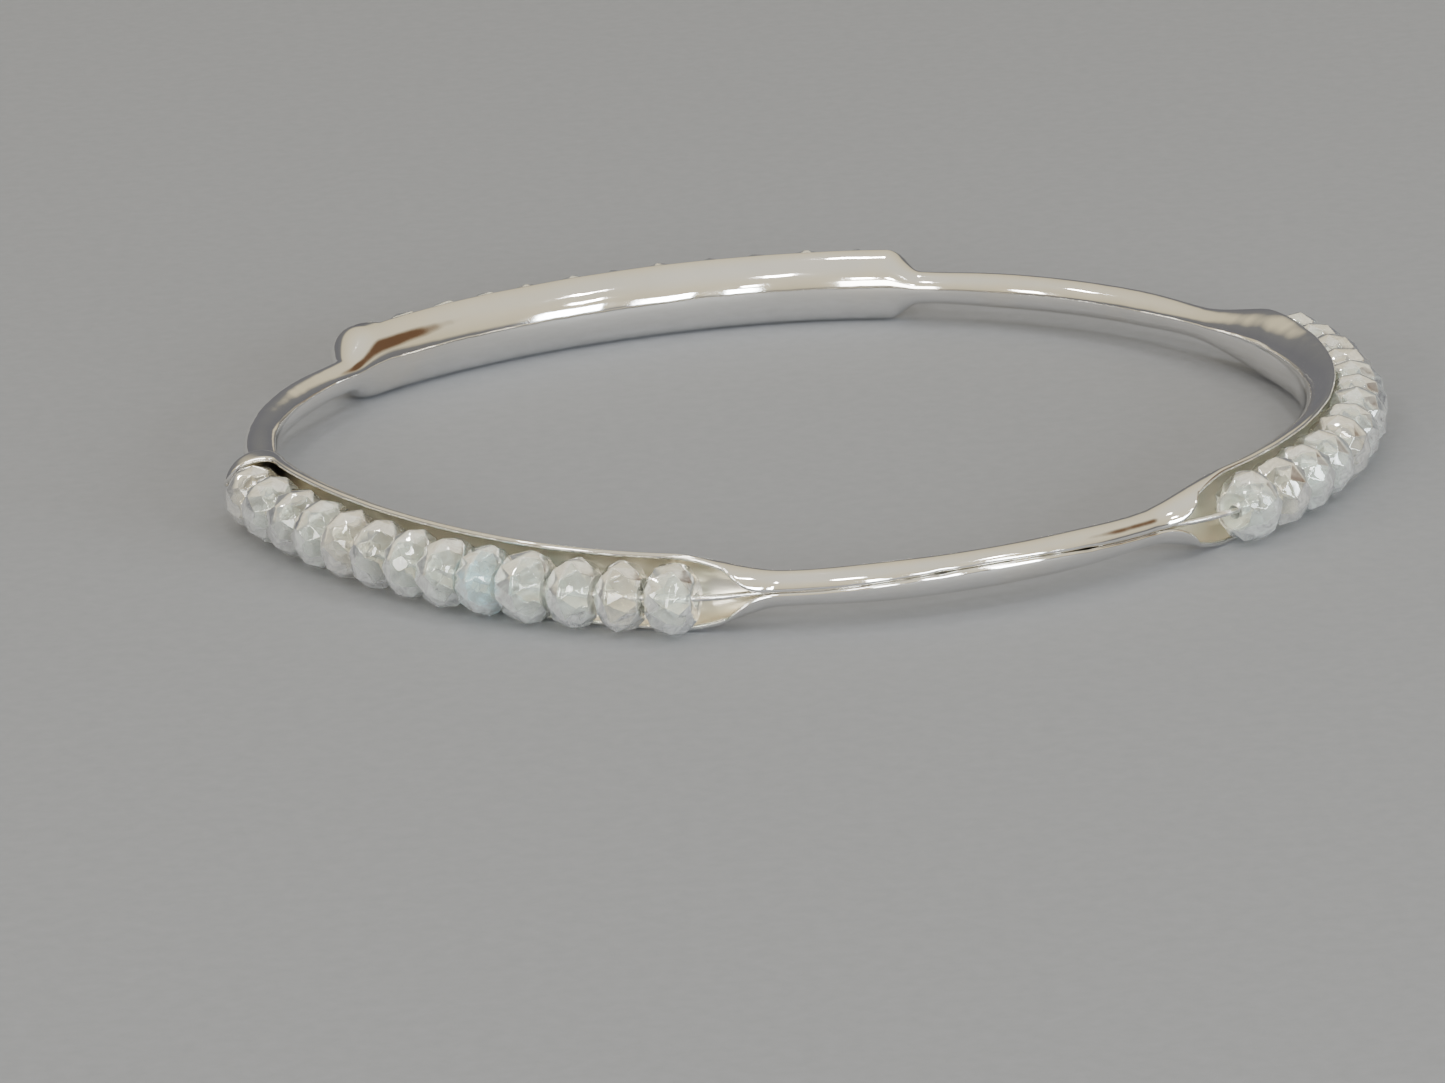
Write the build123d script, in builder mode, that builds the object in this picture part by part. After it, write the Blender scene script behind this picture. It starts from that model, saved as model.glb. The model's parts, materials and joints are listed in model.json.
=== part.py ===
from build123d import *
from math import cos, hypot, pi, radians, sin
import os

# Slip-on bangle formed from one strip of silver sheet.  Between three closed
# tube lengths the strip opens outward into three boat-shaped troughs; a fine
# wire is strung along each trough and threaded with faceted rondelle beads.
# Millimetres, +Z up, the bangle lies flat with its lower lips on Z = 0.

os.makedirs("parts", exist_ok=True)

# ---- driving dimensions ----------------------------------------------------
wrist_radius = 32.8            # inside face of the band, mean
shape_cos = {2: -0.363, 3: -0.300, 4: 0.263}   # hand-formed out-of-round, mm
shape_sin = {2: -0.219, 3: 0.582, 4: -0.252}
frame_dx, frame_dy = -0.887, 0.060  # puts the middle of the outline on the Z axis
mid_z = 2.42                   # height of the band's middle line

sheet = 0.40                   # silver sheet thickness
tube_radius = 1.20             # closed length, outside
trough_radius = 2.50           # open length, outside
tube_half_angle = radians(174.0)     # leaves a fine seam on the outer side
trough_half_angle = radians(83.0)    # opens the strip to a gutter

# each trough, in degrees round the ring: name, first and last pinch, and the
# lengths of the flares next to them
troughs = (
    ("f", 187.5, 268.0, 5.0, 10.5),
    ("r", 308.0, 396.5, 11.5, 16.0),
    ("b", 74.75, 149.25, 4.0, 6.0),
)

# one end of the front and of the back trough is a hood: full height at once, with
# the lips still drawn round the end bead; degrees at the pinch, where the lips
# begin to part, and where they lie fully back
hoods = ((187.5, 192.0, 195.8), (149.25, 144.5, 140.8))
hood_half_angle = radians(172.0)

wire_radius = 0.20
wire_out = 3.36                # wire to wrist face, along the beads
wire_in = 1.829                # wire to wrist face, gripped inside the seam
# degrees over which the wire leaves the seam, at each end of each trough
wire_rise = {"f": (6.1, 9.4), "r": (11.5, 13.0), "b": (7.4, 8.0)}
wire_tuck = 7.5                # degrees of wire held inside each tube end

hole_radius = 0.42
bead_gap = 0.22                # room between neighbours' widest faces
bead_girdle = 0.30             # plain edge left between the two crowns
# where one bead of each row sits (degrees, its place in the row), and the
# (thickness, radius, sides) of the beads along each wire
bead_rows = {
    "f": (258.25, 12, ((3.00, 2.10, 11), (3.30, 2.18, 12), (3.15, 2.21, 10),
          (3.00, 2.22, 11), (2.95, 2.23, 10), (2.80, 2.24, 12), (2.75, 2.22, 11),
          (3.00, 2.25, 10), (2.65, 2.22, 12), (3.35, 2.26, 11), (2.95, 2.20, 10),
          (2.85, 2.22, 11), (3.00, 2.28, 12))),
    "r": (319.9, 0, ((3.20, 2.23, 12), (3.05, 2.20, 10), (3.15, 2.22, 11),
          (2.90, 2.18, 10), (3.10, 2.21, 12), (3.00, 2.17, 11), (3.20, 2.22, 10),
          (2.85, 2.19, 12), (3.10, 2.22, 11), (2.95, 2.16, 10), (3.15, 2.21, 12),
          (3.00, 2.16, 11), (2.90, 2.10, 10))),
    "b": (82.6, 0, ((3.10, 2.20, 11), (2.95, 2.22, 10), (3.20, 2.18, 12),
          (3.00, 2.21, 10), (3.10, 2.22, 11), (2.85, 2.17, 12), (3.15, 2.22, 10),
          (3.05, 2.19, 11), (2.90, 2.21, 12), (3.20, 2.22, 10), (3.00, 2.18, 11),
          (3.10, 2.20, 12))),
}


# ---- the band's path -------------------------------------------------------
def wrist_point(a):
    r = wrist_radius
    for k in (2, 3, 4):
        r += shape_cos[k] * cos(k * a) + shape_sin[k] * sin(k * a)
    return r * cos(a), r * sin(a)


def outward(a):
    e = 1e-4
    x0, y0 = wrist_point(a - e)
    x1, y1 = wrist_point(a + e)
    n = hypot(x1 - x0, y1 - y0)
    return (y1 - y0) / n, -(x1 - x0) / n


def at(a, out, z=mid_z):
    x, y = wrist_point(a)
    nx, ny = outward(a)
    return (x + out * nx + frame_dx, y + out * ny + frame_dy, z)


def ease(t):
    t = min(1.0, max(0.0, t))
    return t * t * (3.0 - 2.0 * t)


def openness(deg):
    for _, a0, a1, f0, f1 in troughs:
        for turn in (-360.0, 0.0, 360.0):
            d = deg + turn
            if a0 <= d <= a1:
                return min(ease((d - a0) / f0), ease((a1 - d) / f1))
    return 0.0


def section_size(deg):
    o = openness(deg)
    ro = tube_radius + (trough_radius - tube_radius) * o
    w_tube = 2.0 * tube_half_angle * (tube_radius - sheet / 2)
    w_trough = 2.0 * trough_half_angle * (trough_radius - sheet / 2)
    half = (w_tube + (w_trough - w_tube) * o) / (2.0 * (ro - sheet / 2))
    d = deg % 360.0
    for pinch, drawn, parted in hoods:
        if min(pinch, parted) < d < max(pinch, parted):
            parting = ease((d - drawn) / (parted - drawn))
            half = max(half, hood_half_angle + (trough_half_angle - hood_half_angle) * parting)
    return ro, half


def section_plane(deg, out):
    a = radians(deg)
    nx, ny = outward(a)
    return Plane(origin=at(a, out), x_dir=(nx, ny, 0), z_dir=(ny, -nx, 0))


def wire_offset(deg, trough):
    name, a0, a1, _, _ = trough
    rise0, rise1 = wire_rise[name]
    t = min((deg - a0) / rise0, (a1 - deg) / rise1)
    return wire_in + (wire_out - wire_in) * ease(t)


def wire_point(deg, trough):
    return at(radians(deg), wire_offset(deg, trough))


def wire_direction(deg, trough):
    x0, y0, _ = wire_point(deg - 0.05, trough)
    x1, y1, _ = wire_point(deg + 0.05, trough)
    n = hypot(x1 - x0, y1 - y0)
    return (x1 - x0) / n, (y1 - y0) / n


def along_wire(deg, distance, trough):
    step = 0.02 if distance >= 0 else -0.02
    left = abs(distance)
    x0, y0, _ = wire_point(deg, trough)
    while True:
        x1, y1, _ = wire_point(deg + step, trough)
        d = hypot(x1 - x0, y1 - y0)
        if d >= left:
            return deg + step * left / d
        left -= d
        deg += step
        x0, y0 = x1, y1


# ---- band: one strip, lofted through its C-shaped sections -----------------
def stations(first, last):
    marks = {first, last}
    for _, a0, a1, f0, f1 in troughs:
        for turn in (0.0, 360.0, -360.0):
            for base, step in ((a0, f0), (a1, -f1)):
                for k in range(-1, 8):
                    marks.add(base + turn + step * k / 6.0)
    for turn in (0.0, 360.0, -360.0):
        for _, drawn, parted in hoods:
            for k in range(8):
                marks.add(drawn + turn + (parted - drawn) * k / 6.0)
    keep = sorted(m for m in marks if first <= m <= last)
    out = [keep[0]]
    for m in keep[1:]:
        gap = m - out[-1]
        if gap < 0.35:
            if m == last:
                out[-1] = m
            continue
        n = int(gap // 2.6) + 1
        start = out[-1]
        out += [start + gap * i / n for i in range(1, n + 1)]
    return out


joins = (
    (troughs[0][2] + troughs[1][1]) / 2 - 360.0,   # front tube
    (troughs[1][2] - 360.0 + troughs[2][1]) / 2,   # right-hand tube
    (troughs[2][2] + troughs[0][1]) / 2,           # left-hand tube
    (troughs[0][2] + troughs[1][1]) / 2,
)

with BuildPart() as band:
    for first, last in zip(joins[:-1], joins[1:]):
        for deg in stations(first, last):
            ro, half = section_size(deg)
            ri = ro - sheet
            lip = (cos(pi - half), sin(pi - half))
            with BuildSketch(section_plane(deg, ro)):
                with BuildLine():
                    ThreePointArc((ro * lip[0], ro * lip[1]), (-ro, 0), (ro * lip[0], -ro * lip[1]))
                    Line((ro * lip[0], -ro * lip[1]), (ri * lip[0], -ri * lip[1]))
                    ThreePointArc((ri * lip[0], -ri * lip[1]), (-ri, 0), (ri * lip[0], ri * lip[1]))
                    Line((ri * lip[0], ri * lip[1]), (ro * lip[0], ro * lip[1]))
                make_face()
        loft(ruled=True)
    # the lower lips are rubbed level so the bangle lies flat
    with Locations((0, 0, -1.0)):
        Box(100, 100, 2.0, mode=Mode.SUBTRACT)
band.part.label = "band"
export_step(band.part, "parts/band.step")

# ---- wires -----------------------------------------------------------------
for trough in troughs:
    name, a0, a1, _, _ = trough
    first, last = a0 - wire_tuck, a1 + wire_tuck
    n = int((last - first) / 1.6)
    with BuildPart() as wire:
        with BuildLine() as run:
            Spline(*[wire_point(first + (last - first) * i / n, trough) for i in range(n + 1)])
        with BuildSketch(Plane(origin=run.line @ 0, z_dir=run.line % 0)):
            Circle(wire_radius)
        sweep()
    wire.part.label = f"wire_{name}"
    export_step(wire.part, f"parts/wire_{name}.step")

# ---- beads -----------------------------------------------------------------
for trough in troughs:
    name = trough[0]
    anchor, seat, beads = bead_rows[name]
    # centres are spaced by the beads' own thicknesses along the wire
    steps = [0.0]
    for left, right in zip(beads[:-1], beads[1:]):
        steps.append(steps[-1] + (left[0] + right[0]) / 2 + bead_gap)
    for number, (thick, radius, sides) in enumerate(beads):
        deg = along_wire(anchor, steps[number] - steps[seat], trough)
        x, y, z = wire_point(deg, trough)
        tx, ty = wire_direction(deg, trough)
        place = Plane(origin=(x, y, z), x_dir=(0, 0, 1), z_dir=(tx, ty, 0))
        table = radius * 0.60
        with BuildPart() as bead:
            with BuildSketch(place.offset(-bead_girdle / 2)):
                RegularPolygon(radius, sides)
            extrude(amount=bead_girdle)
            for side in (1, -1):
                with BuildSketch(place.offset(side * bead_girdle / 2)):
                    RegularPolygon(radius, sides)
                with BuildSketch(place.offset(side * thick / 2)):
                    RegularPolygon(table, sides)
                loft(ruled=True)
            with BuildSketch(place.offset(-thick / 2 - 0.1)):
                Circle(hole_radius)
            extrude(amount=thick + 0.2, mode=Mode.SUBTRACT)
        bead.part.label = f"bead_{name}{number + 1:02d}"
        export_step(bead.part, f"parts/bead_{name}{number + 1:02d}.step")
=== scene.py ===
import json
from math import cos, exp, hypot, pi, radians, sin

import bpy
import numpy as np
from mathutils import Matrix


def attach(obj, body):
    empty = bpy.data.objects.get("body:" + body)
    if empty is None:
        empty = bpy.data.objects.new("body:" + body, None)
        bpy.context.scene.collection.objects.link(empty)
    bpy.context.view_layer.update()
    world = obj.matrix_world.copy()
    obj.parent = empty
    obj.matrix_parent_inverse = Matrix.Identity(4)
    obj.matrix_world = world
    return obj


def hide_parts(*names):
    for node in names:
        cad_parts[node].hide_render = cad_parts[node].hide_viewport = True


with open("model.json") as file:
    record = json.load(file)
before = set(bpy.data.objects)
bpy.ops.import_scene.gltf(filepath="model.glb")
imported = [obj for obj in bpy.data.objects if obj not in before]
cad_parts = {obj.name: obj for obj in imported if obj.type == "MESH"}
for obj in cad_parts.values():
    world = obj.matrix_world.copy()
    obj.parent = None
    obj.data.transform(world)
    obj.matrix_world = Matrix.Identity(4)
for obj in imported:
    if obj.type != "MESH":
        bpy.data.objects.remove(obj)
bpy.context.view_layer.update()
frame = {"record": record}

MM = 0.001
rng = np.random.default_rng(61)

# ---------------------------------------------------------------- dimensions
wrist_radius = 32.8
shape_cos = {2: -0.363, 3: -0.300, 4: 0.263}
shape_sin = {2: -0.219, 3: 0.582, 4: -0.252}
frame_dx, frame_dy = -0.887, 0.060
mid_z = 2.42
sheet = 0.40
tube_radius = 1.20
trough_radius = 2.50
tube_half_angle = radians(174.0)
trough_half_angle = radians(83.0)
troughs = (
    ("f", 187.5, 268.0, 5.0, 10.5),
    ("r", 308.0, 396.5, 11.5, 16.0),
    ("b", 74.75, 149.25, 4.0, 6.0),
)
hoods = ((187.5, 192.0, 195.8), (149.25, 144.5, 140.8))
hood_half_angle = radians(172.0)
wire_radius = 0.20
wire_out = 3.36
wire_in = 1.829
wire_rise = {"f": (6.1, 9.4), "r": (11.5, 13.0), "b": (7.4, 8.0)}
wire_tuck = 7.5
hole_radius = 0.42
bead_gap = 0.22
bead_girdle = 0.30
bead_rows = {
    "f": (258.25, 12, ((3.00, 2.10, 11), (3.30, 2.18, 12), (3.15, 2.21, 10),
          (3.00, 2.22, 11), (2.95, 2.23, 10), (2.80, 2.24, 12), (2.75, 2.22, 11),
          (3.00, 2.25, 10), (2.65, 2.22, 12), (3.35, 2.26, 11), (2.95, 2.20, 10),
          (2.85, 2.22, 11), (3.00, 2.28, 12))),
    "r": (319.9, 0, ((3.20, 2.23, 12), (3.05, 2.20, 10), (3.15, 2.22, 11),
          (2.90, 2.18, 10), (3.10, 2.21, 12), (3.00, 2.17, 11), (3.20, 2.22, 10),
          (2.85, 2.19, 12), (3.10, 2.22, 11), (2.95, 2.16, 10), (3.15, 2.21, 12),
          (3.00, 2.16, 11), (2.90, 2.10, 10))),
    "b": (82.6, 0, ((3.10, 2.20, 11), (2.95, 2.22, 10), (3.20, 2.18, 12),
          (3.00, 2.21, 10), (3.10, 2.22, 11), (2.85, 2.17, 12), (3.15, 2.22, 10),
          (3.05, 2.19, 11), (2.90, 2.21, 12), (3.20, 2.22, 10), (3.00, 2.18, 11),
          (3.10, 2.20, 12))),
}


def wrist_point(a):
    r = wrist_radius
    for k in (2, 3, 4):
        r += shape_cos[k] * cos(k * a) + shape_sin[k] * sin(k * a)
    return r * cos(a), r * sin(a)


def outward(a):
    e = 1e-4
    x0, y0 = wrist_point(a - e)
    x1, y1 = wrist_point(a + e)
    n = hypot(x1 - x0, y1 - y0)
    return (y1 - y0) / n, -(x1 - x0) / n


def at(a, out, z=mid_z):
    x, y = wrist_point(a)
    nx, ny = outward(a)
    return (x + out * nx + frame_dx, y + out * ny + frame_dy, z)


def ease(t):
    t = min(1.0, max(0.0, t))
    return t * t * (3.0 - 2.0 * t)


def openness(deg):
    for _, a0, a1, f0, f1 in troughs:
        for turn in (-360.0, 0.0, 360.0):
            d = deg + turn
            if a0 <= d <= a1:
                return min(ease((d - a0) / f0), ease((a1 - d) / f1))
    return 0.0


def wire_offset(deg, trough):
    name, a0, a1, _, _ = trough
    rise0, rise1 = wire_rise[name]
    t = min((deg - a0) / rise0, (a1 - deg) / rise1)
    return wire_in + (wire_out - wire_in) * ease(t)


def wire_point(deg, trough):
    return at(radians(deg), wire_offset(deg, trough))


def wire_direction(deg, trough):
    x0, y0, _ = wire_point(deg - 0.05, trough)
    x1, y1, _ = wire_point(deg + 0.05, trough)
    n = hypot(x1 - x0, y1 - y0)
    return (x1 - x0) / n, (y1 - y0) / n


def along_wire(deg, distance, trough):
    step = 0.02 if distance >= 0 else -0.02
    left = abs(distance)
    x0, y0, _ = wire_point(deg, trough)
    while True:
        x1, y1, _ = wire_point(deg + step, trough)
        d = hypot(x1 - x0, y1 - y0)
        if d >= left:
            return deg + step * left / d
        left -= d
        deg += step
        x0, y0 = x1, y1


def wave(seed, count, low, high):
    """A smooth closed wander round the ring, about -1..1."""
    g = np.random.default_rng(seed)
    ks = g.integers(low, high, count)
    ph = g.uniform(0, 2 * pi, count)
    am = g.uniform(0.5, 1.0, count)
    am = am / am.sum() * 1.6

    def f(deg):
        a = radians(deg)
        return float(np.clip((am * np.sin(ks * a + ph)).sum(), -1, 1))
    return f


# ----------------------------------------------------------------- materials
def new_material(name):
    m = bpy.data.materials.new(name)
    m.use_nodes = True
    nt = m.node_tree
    bsdf = nt.nodes["Principled BSDF"]
    return m, nt, bsdf


def node(nt, kind, **values):
    n = nt.nodes.new(kind)
    for k, v in values.items():
        if k in n.inputs:
            n.inputs[k].default_value = v
        else:
            setattr(n, k, v)
    return n


def ramp(nt, source, stops):
    r = nt.nodes.new("ShaderNodeValToRGB")
    e = r.color_ramp.elements
    e[0].position, e[0].color = stops[0][0], stops[0][1]
    e[1].position, e[1].color = stops[-1][0], stops[-1][1]
    for p, c in stops[1:-1]:
        x = e.new(p)
        x.color = c
    nt.links.new(source, r.inputs["Fac"])
    return r


def grey(v):
    return (v, v, v, 1.0)


def noise(nt, coords, scale, detail=3.0, rough=0.5):
    n = nt.nodes.new("ShaderNodeTexNoise")
    n.inputs["Scale"].default_value = scale
    n.inputs["Detail"].default_value = detail
    n.inputs["Roughness"].default_value = rough
    nt.links.new(coords, n.inputs["Vector"])
    return n


def silver(name, warm, rough_lo, rough_hi, wave_strength):
    m, nt, b = new_material(name)
    tc = nt.nodes.new("ShaderNodeTexCoord")
    co = tc.outputs["Object"]
    b.inputs["Metallic"].default_value = 1.0
    cloud = noise(nt, co, 160.0, 4.0, 0.55)
    tone = ramp(nt, cloud.outputs["Fac"], [
        (0.30, (0.95 * warm[0], 0.93 * warm[1], 0.90 * warm[2], 1)),
        (0.55, (0.90 * warm[0], 0.885 * warm[1], 0.855 * warm[2], 1)),
        (0.75, (0.94 * warm[0], 0.90 * warm[1], 0.83 * warm[2], 1))])
    # painted shade: the inner faces of the closed tube stretches are mixed towards a dark brown, standing in
    # for the shade deep inside the tube
    shade = nt.nodes.new("ShaderNodeAttribute")
    shade.attribute_name = "painted_tube_shade"
    painted_shade_mix = nt.nodes.new("ShaderNodeMix")
    painted_shade_mix.data_type = "RGBA"
    nt.links.new(shade.outputs["Fac"], painted_shade_mix.inputs["Factor"])
    nt.links.new(tone.outputs["Color"], painted_shade_mix.inputs[6])
    painted_shade_mix.inputs[7].default_value = (0.50, 0.42, 0.32, 1)
    # inner faces: a satin finish (rougher, real) plus a warm tint that is a painted reflection, standing in for
    # the champagne glow reflected inside the trough
    inside = nt.nodes.new("ShaderNodeAttribute")
    inside.attribute_name = "inside"
    painted_warm_reflection = nt.nodes.new("ShaderNodeMix")
    painted_warm_reflection.data_type = "RGBA"
    painted_warm_reflection.blend_type = "MULTIPLY"
    nt.links.new(inside.outputs["Fac"], painted_warm_reflection.inputs["Factor"])
    nt.links.new(painted_shade_mix.outputs[2], painted_warm_reflection.inputs[6])
    painted_warm_reflection.inputs[7].default_value = (1.0, 0.965, 0.87, 1)
    nt.links.new(painted_warm_reflection.outputs[2], b.inputs["Base Color"])
    smear = noise(nt, co, 420.0, 5.0, 0.6)
    rr = ramp(nt, smear.outputs["Fac"], [(0.3, grey(rough_lo)), (0.75, grey(rough_hi))])
    satin = nt.nodes.new("ShaderNodeMath")
    satin.operation = "MULTIPLY_ADD"
    nt.links.new(inside.outputs["Fac"], satin.inputs[0])
    satin.inputs[1].default_value = 0.24
    nt.links.new(rr.outputs["Color"], satin.inputs[2])
    nt.links.new(satin.outputs[0], b.inputs["Roughness"])
    # slow hand-formed waviness, then faint polishing lines
    slow = noise(nt, co, 230.0, 2.0, 0.5)
    b1 = nt.nodes.new("ShaderNodeBump")
    b1.inputs["Strength"].default_value = wave_strength
    b1.inputs["Distance"].default_value = 0.0002
    nt.links.new(slow.outputs["Fac"], b1.inputs["Height"])
    fine = noise(nt, co, 5200.0, 4.0, 0.7)
    b2 = nt.nodes.new("ShaderNodeBump")
    b2.inputs["Strength"].default_value = 0.05
    b2.inputs["Distance"].default_value = 0.00002
    nt.links.new(fine.outputs["Fac"], b2.inputs["Height"])
    nt.links.new(b1.outputs["Normal"], b2.inputs["Normal"])
    nt.links.new(b2.outputs["Normal"], b.inputs["Normal"])
    return m


def gem(name, base_a, base_b, clear_lo, clear_hi, veil_scale=420.0):
    m, nt, b = new_material(name)
    tc = nt.nodes.new("ShaderNodeTexCoord")
    co = tc.outputs["Object"]
    b.inputs["IOR"].default_value = 1.46
    b.inputs["Metallic"].default_value = 0.0
    b.inputs["Coat Weight"].default_value = 0.8
    b.inputs["Coat Roughness"].default_value = 0.02
    b.inputs["Coat IOR"].default_value = 1.5
    veil = noise(nt, co, veil_scale, 4.0, 0.6)
    veil.inputs["Distortion"].default_value = 1.2
    tone = ramp(nt, veil.outputs["Fac"], [(0.30, base_a), (0.72, base_b)])
    nt.links.new(tone.outputs["Color"], b.inputs["Base Color"])
    cl = ramp(nt, veil.outputs["Fac"], [(0.28, grey(clear_hi)), (0.72, grey(clear_lo))])
    nt.links.new(cl.outputs["Color"], b.inputs["Transmission Weight"])
    film = noise(nt, co, 1500.0, 3.0, 0.6)
    rr = ramp(nt, film.outputs["Fac"], [(0.35, grey(0.01)), (0.8, grey(0.10))])
    nt.links.new(rr.outputs["Color"], b.inputs["Roughness"])
    pit = noise(nt, co, 1100.0, 2.0, 0.5)
    bump = nt.nodes.new("ShaderNodeBump")
    bump.inputs["Strength"].default_value = 0.30
    bump.inputs["Distance"].default_value = 0.00010
    nt.links.new(pit.outputs["Fac"], bump.inputs["Height"])
    nt.links.new(bump.outputs["Normal"], b.inputs["Normal"])
    return m


mat_silver = silver("silver_polished", (1.0, 1.0, 1.0), 0.04, 0.10, 0.40)
mat_wire = silver("silver_drawn_wire", (0.97, 0.97, 0.97), 0.14, 0.26, 0.10)
mat_clear = gem("gem_clear", (1.0, 1.0, 1.0, 1), (0.92, 1.0, 0.95, 1), 0.83, 1.0, 900.0)
mat_milky = gem("gem_milky", (0.97, 1.0, 0.985, 1), (0.89, 0.99, 0.93, 1), 0.73, 0.99, 800.0)
mat_champagne = gem("gem_champagne", (1.0, 0.99, 0.94, 1), (0.98, 0.95, 0.82, 1), 0.79, 0.99, 800.0)
mat_blue = gem("gem_blue_sheen", (0.95, 1.0, 0.98, 1), (0.52, 0.84, 0.96, 1), 0.60, 0.97, 600.0)
gem_of = {"bead_clear": mat_clear, "bead_milky": mat_milky, "bead_champagne": mat_champagne}


# -------------------------------------------------------------------- meshes
def make_object(name, verts, faces, mat, smooth=True):
    me = bpy.data.meshes.new(name)
    me.from_pydata([tuple(v) for v in np.asarray(verts) * MM], [], faces)
    me.validate()
    me.update()
    me.polygons.foreach_set("use_smooth", [smooth] * len(me.polygons))
    ob = bpy.data.objects.new(name, me)
    bpy.context.scene.collection.objects.link(ob)
    me.materials.append(mat)
    return ob


# band: one dense skin swept round the ring
wob_r = wave(3, 6, 5, 17)
wob_top = wave(4, 9, 7, 60)
wob_bot = wave(8, 9, 7, 60)
wob_seam = wave(9, 8, 20, 90)
wob_seam2 = wave(19, 8, 40, 150)


def seam_shift(deg):
    """The seam climbs the outer face of the front tube between its ends."""
    d = deg % 360
    s = 0.0
    if 268.0 < d < 308.0:
        s = 26.0 * sin(pi * (d - 268.0) / 40.0) ** 2
    elif 149.25 < d < 187.5:
        s = 16.0 * sin(pi * (d - 149.25) / 38.25) ** 2
    elif 36.5 < d < 74.75:
        s = -14.0 * sin(pi * (d - 36.5) / 38.25) ** 2
    return radians(s)


def section(deg):
    o = openness(deg)
    ro = tube_radius + (trough_radius - tube_radius) * o
    w_tube = 2.0 * tube_half_angle * (tube_radius - sheet / 2)
    w_trough = 2.0 * trough_half_angle * (trough_radius - sheet / 2)
    half = (w_tube + (w_trough - w_tube) * o) / (2.0 * (ro - sheet / 2))
    d = deg % 360
    hooded = 0.0
    for pinch_at, drawn, parted in hoods:
        if min(pinch_at, parted) < d < max(pinch_at, parted):
            hooded = 1.0
            parting = ease((d - drawn) / (parted - drawn))
            half = max(half, hood_half_angle + (trough_half_angle - hood_half_angle) * parting)
    pinch = 0.0
    for _, a0, a1, _, _ in troughs:
        for e, side in ((a0 % 360, -1), (a1 % 360, 1)):
            q = (d - e + 180) % 360 - 180
            q *= side
            pinch = max(pinch, exp(-((q - 2.0) / 5.0) ** 2))
    ro = ro - 0.10 * pinch * (1 - o) - 0.012 * (1 + wob_r(deg)) * (0.4 + o) - 0.016
    t = 0.36
    rm = ro - t / 2
    back = (t / 2) / rm
    half_top = half - back * 0.9 - radians(0.7) * (1 + wob_top(deg)) * (0.25 + 0.75 * o)
    half_bot = half - back * 0.9 - radians(0.7) * (1 + wob_bot(deg)) * (0.25 + 0.75 * o)
    closed = 1 - o
    if closed > 0.5 and not hooded:
        # nearly closed, with an uneven fine gap
        gap = radians(1.6 + 3.2 * max(0.0, wob_seam(deg)) ** 2 + 1.2 * max(0.0, wob_seam2(deg)))
        k = (closed - 0.5) * 2
        full_top = pi - back * 0.9 - gap
        full_bot = pi - back * 0.9 - gap
        half_top += (full_top - half_top) * k
        half_bot += (full_bot - half_bot) * k
    sh = seam_shift(deg)
    return ro, t, half_top - sh, half_bot + sh, o


N_ARC, N_LIP = 36, 6
stations = 1152
verts, painted_shade_values, ins = [], [], []
for i in range(stations):
    deg = 360.0 * i / stations
    a = radians(deg)
    ro, t, ht, hb, o = section(deg)
    ri = ro - t
    rm = ro - t / 2
    prof = []
    for j in range(N_ARC + 1):
        p = -hb + (ht + hb) * j / N_ARC
        prof.append((-ro * cos(p), ro * sin(p), 0.0, 0.0))
    for j in range(1, N_LIP):
        q = pi * j / N_LIP
        rr = rm + t / 2 * cos(q)
        ex = t / 2 * sin(q)
        x0, z0 = -rr * cos(ht), rr * sin(ht)
        prof.append((x0 + ex * sin(ht), z0 + ex * cos(ht), 0.0, 0.0))
    for j in range(N_ARC + 1):
        p = ht - (ht + hb) * j / N_ARC
        # painted shade: how strongly the tube's inner face is darkened, strongest where the tube is closed
        painted_shade_depth = max(0.0, 1 - 2.2 * o) * 0.6
        prof.append((-ri * cos(p), ri * sin(p), painted_shade_depth, 1.0))
    for j in range(1, N_LIP):
        q = pi * j / N_LIP
        rr = rm - t / 2 * cos(q)
        ex = t / 2 * sin(q)
        x0, z0 = -rr * cos(hb), -rr * sin(hb)
        prof.append((x0 + ex * sin(hb), z0 - ex * cos(hb), 0.0, 0.0))
    for x, z, c, warm_side in prof:
        px, py, pz = at(a, x + tube_radius + (trough_radius - tube_radius) * o, mid_z + z)
        verts.append((px, py, max(0.0, pz)))
        painted_shade_values.append(c)
        ins.append(warm_side)
M = 2 * (N_ARC + 1) + 2 * (N_LIP - 1)
faces = []
for i in range(stations):
    k = (i + 1) % stations
    for j in range(M):
        l = (j + 1) % M
        faces.append((i * M + j, i * M + l, k * M + l, k * M + j))
band = make_object("band_skin", verts, faces, mat_silver)
# painted shade values for the closed tube interiors
painted_shade_attr = band.data.attributes.new("painted_tube_shade", "FLOAT", "POINT")
painted_shade_attr.data.foreach_set("value", painted_shade_values)
at_i = band.data.attributes.new("inside", "FLOAT", "POINT")
at_i.data.foreach_set("value", ins)
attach(band, "bangle")
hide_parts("band")

# wires
for trough in troughs:
    name, a0, a1, _, _ = trough
    first, last = a0 - wire_tuck, a1 + wire_tuck
    n = int((last - first) / 0.5)
    g = wave(40 + ord(name), 5, 20, 70)
    verts, faces = [], []
    S = 16
    for i in range(n + 1):
        deg = first + (last - first) * i / n
        c = np.array(wire_point(deg, trough))
        tx, ty = wire_direction(deg, trough)
        u = np.array((0, 0, 1.0))
        v = np.array((ty, -tx, 0.0))
        c = c + u * 0.02 * g(deg)
        for s in range(S):
            q = 2 * pi * s / S
            verts.append(c + (u * cos(q) + v * sin(q)) * wire_radius * 0.99)
    for i in range(n):
        for s in range(S):
            w = (s + 1) % S
            faces.append((i * S + s, (i + 1) * S + s, (i + 1) * S + w, i * S + w))
    for end, rev in ((0, False), (n, True)):
        loop = [end * S + s for s in range(S)]
        faces.append(tuple(loop if not rev else loop[::-1]))
    w = make_object(f"wire_{name}_drawn", verts, faces, mat_wire)
    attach(w, "bangle")
    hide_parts(f"wire_{name}")


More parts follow.
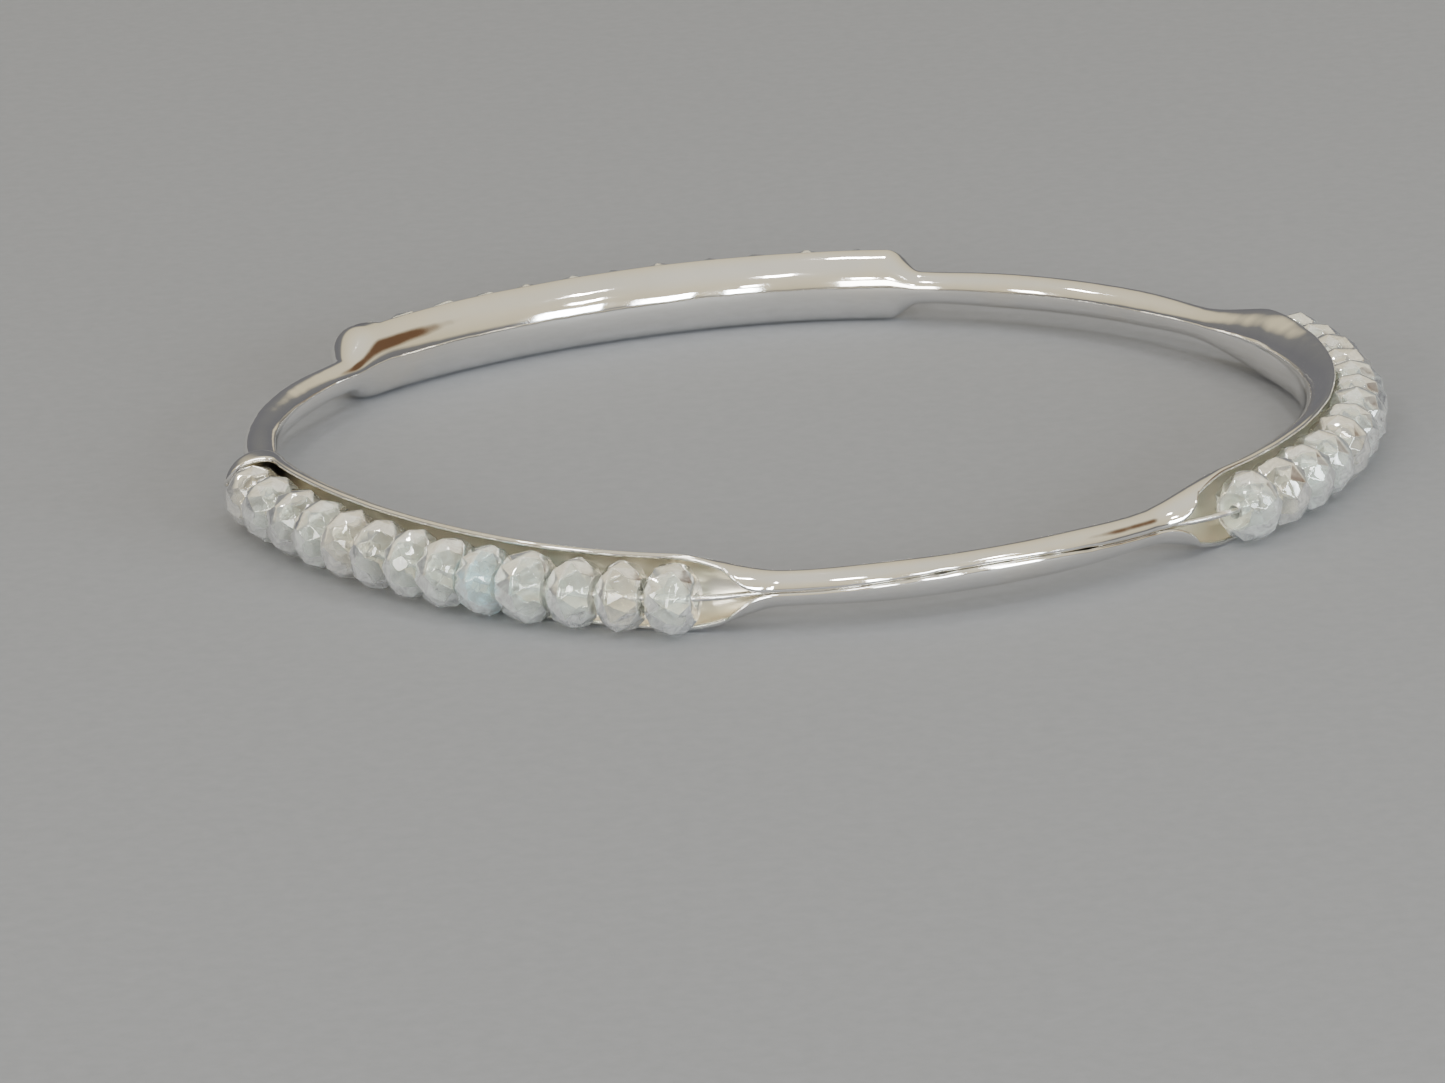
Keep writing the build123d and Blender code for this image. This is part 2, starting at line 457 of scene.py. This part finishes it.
# beads: faceted rondelles, each cut a little differently
def bead_mesh(name, centre, axis, thick, radius, sides, mat):
    c = np.array(centre)
    t = np.array((axis[0], axis[1], 0.0))
    u = np.array((0.0, 0.0, 1.0))
    v = np.cross(t, u)
    turn = rng.uniform(0, 2 * pi)
    top = thick / 2
    rt = radius * rng.uniform(0.575, 0.60)
    rm = radius * rng.uniform(0.88, 0.915)
    zm = top * rng.uniform(0.58, 0.67)
    lean = rng.uniform(-0.26, 0.26)
    rows = []

    def ring(x, r, shift, jr=0.0, jx=0.0):
        row = []
        for i in range(sides):
            q = turn + 2 * pi * (i + shift) / sides + rng.uniform(-0.05, 0.05) * (jr > 0)
            rr = r * (1 - rng.uniform(0, jr))
            xx = x - np.sign(x) * rng.uniform(0, jx)
            row.append(c + t * xx + (u * cos(q) + v * sin(q)) * rr)
        rows.append(row)
        return len(rows) - 1
    hl = ring(-top * 0.98, hole_radius, 0.0)
    tl = ring(-top, rt, 0.0, 0.06, 0.06)
    ml = ring(-zm, rm, 0.5, 0.05, 0.08)
    gl = ring(-bead_girdle / 2, radius * 0.996, 0.0, 0.02, 0.04)
    rows[gl] = [p + t * lean for p in rows[gl]]
    gh = len(rows)
    rows.append([p + t * rng.uniform(0.20, 0.30) for p in rows[gl]])
    mh = ring(zm, rm, 0.5, 0.05, 0.08)
    th = ring(top, rt, 0.0, 0.06, 0.06)
    hh = ring(top * 0.98, hole_radius, 0.0)
    verts = [p for row in rows for p in row]
    n = sides

    def k(r, i):
        return r * n + i % n
    faces = []
    for i in range(n):
        faces.append((k(hl, i), k(tl, i), k(tl, i + 1), k(hl, i + 1)))
        faces.append((k(tl, i), k(ml, i), k(tl, i + 1)))
        faces.append((k(tl, i + 1), k(ml, i), k(gl, i + 1), k(ml, i + 1)))
        faces.append((k(ml, i), k(gl, i), k(gl, i + 1)))
        faces.append((k(gl, i), k(gh, i), k(gh, i + 1), k(gl, i + 1)))
        faces.append((k(gh, i), k(mh, i), k(gh, i + 1)))
        faces.append((k(gh, i + 1), k(mh, i), k(th, i + 1), k(mh, i + 1)))
        faces.append((k(mh, i), k(th, i), k(th, i + 1)))
        faces.append((k(th, i), k(hh, i), k(hh, i + 1), k(th, i + 1)))
        faces.append((k(hh, i), k(hl, i), k(hl, i + 1), k(hh, i + 1)))
    ob = make_object(name, verts, faces, mat, smooth=False)
    bev = ob.modifiers.new("soft_edges", "BEVEL")
    bev.width = 0.05 * MM
    bev.segments = 2
    bev.limit_method = "ANGLE"
    bev.angle_limit = radians(8)
    wn = ob.modifiers.new("facet_shading", "WEIGHTED_NORMAL")
    wn.keep_sharp = False
    ob.data.polygons.foreach_set("use_smooth", [True] * len(ob.data.polygons))
    return ob


record = frame["record"]
slot_of = {s["node"]: s["material_slot"] for s in record["subparts"]}
for trough in troughs:
    name = trough[0]
    anchor, seat, beads = bead_rows[name]
    steps = [0.0]
    for left, right in zip(beads[:-1], beads[1:]):
        steps.append(steps[-1] + (left[0] + right[0]) / 2 + bead_gap)
    for number, (thick, radius, sides) in enumerate(beads):
        deg = along_wire(anchor, steps[number] - steps[seat], trough)
        cad = f"bead_{name}{number + 1:02d}"
        mat = gem_of[slot_of[cad]]
        if cad == "bead_f09":
            mat = mat_blue
        ob = bead_mesh(cad + "_cut", wire_point(deg, trough), wire_direction(deg, trough),
                       thick, radius, sides, mat)
        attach(ob, cad)
        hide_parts(cad)

# --------------------------------------------------------------------- stage
me = bpy.data.meshes.new("floor")
S = 1.6
me.from_pydata([(-S, -S, -0.00003), (S, -S, -0.00003), (S, S, -0.00003), (-S, S, -0.00003)], [], [(0, 1, 2, 3)])
floor = bpy.data.objects.new("floor", me)
bpy.context.scene.collection.objects.link(floor)
fm, fnt, fb = new_material("floor_pale")
ftc = fnt.nodes.new("ShaderNodeTexCoord")
fn = noise(fnt, ftc.outputs["Object"], 900.0, 5.0, 0.6)
fr = ramp(fnt, fn.outputs["Fac"], [(0.3, (0.196, 0.204, 0.225, 1)), (0.7, (0.215, 0.223, 0.247, 1))])
fnt.links.new(fr.outputs["Color"], fb.inputs["Base Color"])
fb.inputs["Roughness"].default_value = 0.75
me.materials.append(fm)

world = bpy.context.scene.world or bpy.data.worlds.new("studio")
bpy.context.scene.world = world
world.use_nodes = True
wt = world.node_tree
wt.nodes.clear()
wc = wt.nodes.new("ShaderNodeTexCoord")
ws = wt.nodes.new("ShaderNodeSeparateXYZ")
wt.links.new(wc.outputs["Generated"], ws.inputs["Vector"])
# the pale ceiling starts lower in front than behind
wy = wt.nodes.new("ShaderNodeMath")
wy.operation = "MULTIPLY"
wy.inputs[1].default_value = -0.17
wt.links.new(ws.outputs["Y"], wy.inputs[0])
wz = wt.nodes.new("ShaderNodeMath")
wz.operation = "ADD"
wt.links.new(ws.outputs["Z"], wz.inputs[0])
wt.links.new(wy.outputs[0], wz.inputs[1])
wr = ramp(wt, wz.outputs[0], [(0.0, (0.17, 0.17, 0.18, 1)), (0.19, (0.20, 0.20, 0.20, 1)),
                              (0.30, (0.78, 0.69, 0.48, 1)), (0.70, (0.90, 0.82, 0.62, 1)),
                              (1.0, (0.92, 0.88, 0.76, 1))])
# one brown dark patch high to the right
wd = wt.nodes.new("ShaderNodeVectorMath")
wd.operation = "DOT_PRODUCT"
wd.inputs[1].default_value = (0.81, 0.23, 0.54)
wt.links.new(wc.outputs["Generated"], wd.inputs[0])
wp = ramp(wt, wd.outputs["Value"], [(0.955, grey(0.0)), (0.985, grey(1.0))])
wm = wt.nodes.new("ShaderNodeMix")
wm.data_type = "RGBA"
wt.links.new(wp.outputs["Color"], wm.inputs["Factor"])
wt.links.new(wr.outputs["Color"], wm.inputs[6])
wm.inputs[7].default_value = (0.16, 0.09, 0.05, 1)
wb = wt.nodes.new("ShaderNodeBackground")
wb.inputs["Strength"].default_value = 1.0
wo = wt.nodes.new("ShaderNodeOutputWorld")
wt.links.new(wm.outputs[2], wb.inputs["Color"])
wt.links.new(wb.outputs["Background"], wo.inputs["Surface"])


def area(name, loc, target, size, size_y, power, color):
    from mathutils import Vector
    ld = bpy.data.lights.new(name, "AREA")
    ld.shape = "RECTANGLE"
    ld.size, ld.size_y = size, size_y
    ld.energy = power
    ld.color = color
    lo = bpy.data.objects.new(name, ld)
    bpy.context.scene.collection.objects.link(lo)
    lo.location = loc
    lo.rotation_euler = (Vector(target) - Vector(loc)).to_track_quat("-Z", "Y").to_euler()
    return lo


area("window_a", (1.17, -0.94, 0.34), (0, 0, 0), 0.30, 0.44, 13.0, (0.88, 0.96, 1.0))
area("window_b", (0.78, -1.29, 0.32), (0, 0, 0), 0.26, 0.38, 10.0, (0.92, 0.97, 1.0))
area("window_c", (0.42, -1.44, 0.30), (0, 0, 0), 0.18, 0.32, 5.5, (0.90, 0.98, 1.0))
area("window_d", (-1.30, -0.75, 0.55), (0, 0, 0), 0.20, 0.28, 4.0, (1.0, 0.97, 0.92))
area("fill_front", (-0.50, -1.30, 0.36), (0, 0, 0), 0.60, 0.40, 11.0, (1.0, 0.99, 0.93))
for k, (x, y, z, size, power) in enumerate((
        (-0.55, -0.75, 1.25, 0.10, 1.8), (0.15, -0.95, 1.15, 0.14, 2.6), (0.75, -0.30, 1.25, 0.10, 1.8),
        (-0.10, 0.35, 1.30, 0.10, 1.6), (-0.85, 0.20, 1.10, 0.10, 1.6), (-0.35, -1.30, 0.75, 0.12, 1.8),
        (0.95, -0.75, 0.85, 0.12, 1.8), (0.35, -1.35, 0.62, 0.10, 1.4))):
    area(f"lamp_{k}", (x, y, z), (0, 0, 0), size, size, power, (1.0, 0.98, 0.94))

# -------------------------------------------------------------------- camera
D, el, pan, tilt, roll, f = 500.0, 0.2807811571201552, -0.010020623426425906, \
    -0.009392749616738376, -0.051578608417778046, 7798.091
from mathutils import Matrix, Vector
C = np.array([0, -D * cos(el), D * sin(el)])
fw = -C / np.linalg.norm(C)
right = np.array([1.0, 0, 0])
up = np.cross(right, fw)
fw2 = fw * cos(pan) + right * sin(pan)
right2 = right * cos(pan) - fw * sin(pan)
fw3 = fw2 * cos(tilt) + up * sin(tilt)
up3 = up * cos(tilt) - fw2 * sin(tilt)
rr = right2 * cos(roll) + up3 * sin(roll)
uu = up3 * cos(roll) - right2 * sin(roll)
C = C + np.array([frame_dx, frame_dy, mid_z - 2.5])
cd = bpy.data.cameras.new("camera")
cam = bpy.data.objects.new("camera", cd)
bpy.context.scene.collection.objects.link(cam)
m = Matrix(((rr[0], uu[0], -fw3[0], C[0] * MM), (rr[1], uu[1], -fw3[1], C[1] * MM),
            (rr[2], uu[2], -fw3[2], C[2] * MM), (0, 0, 0, 1)))
cam.matrix_world = m
cd.sensor_fit = "HORIZONTAL"
cd.sensor_width = 36.0
cd.lens = f / 1445.0 * 36.0
cd.clip_start = 0.01
cd.clip_end = 20.0
bpy.context.scene.camera = cam
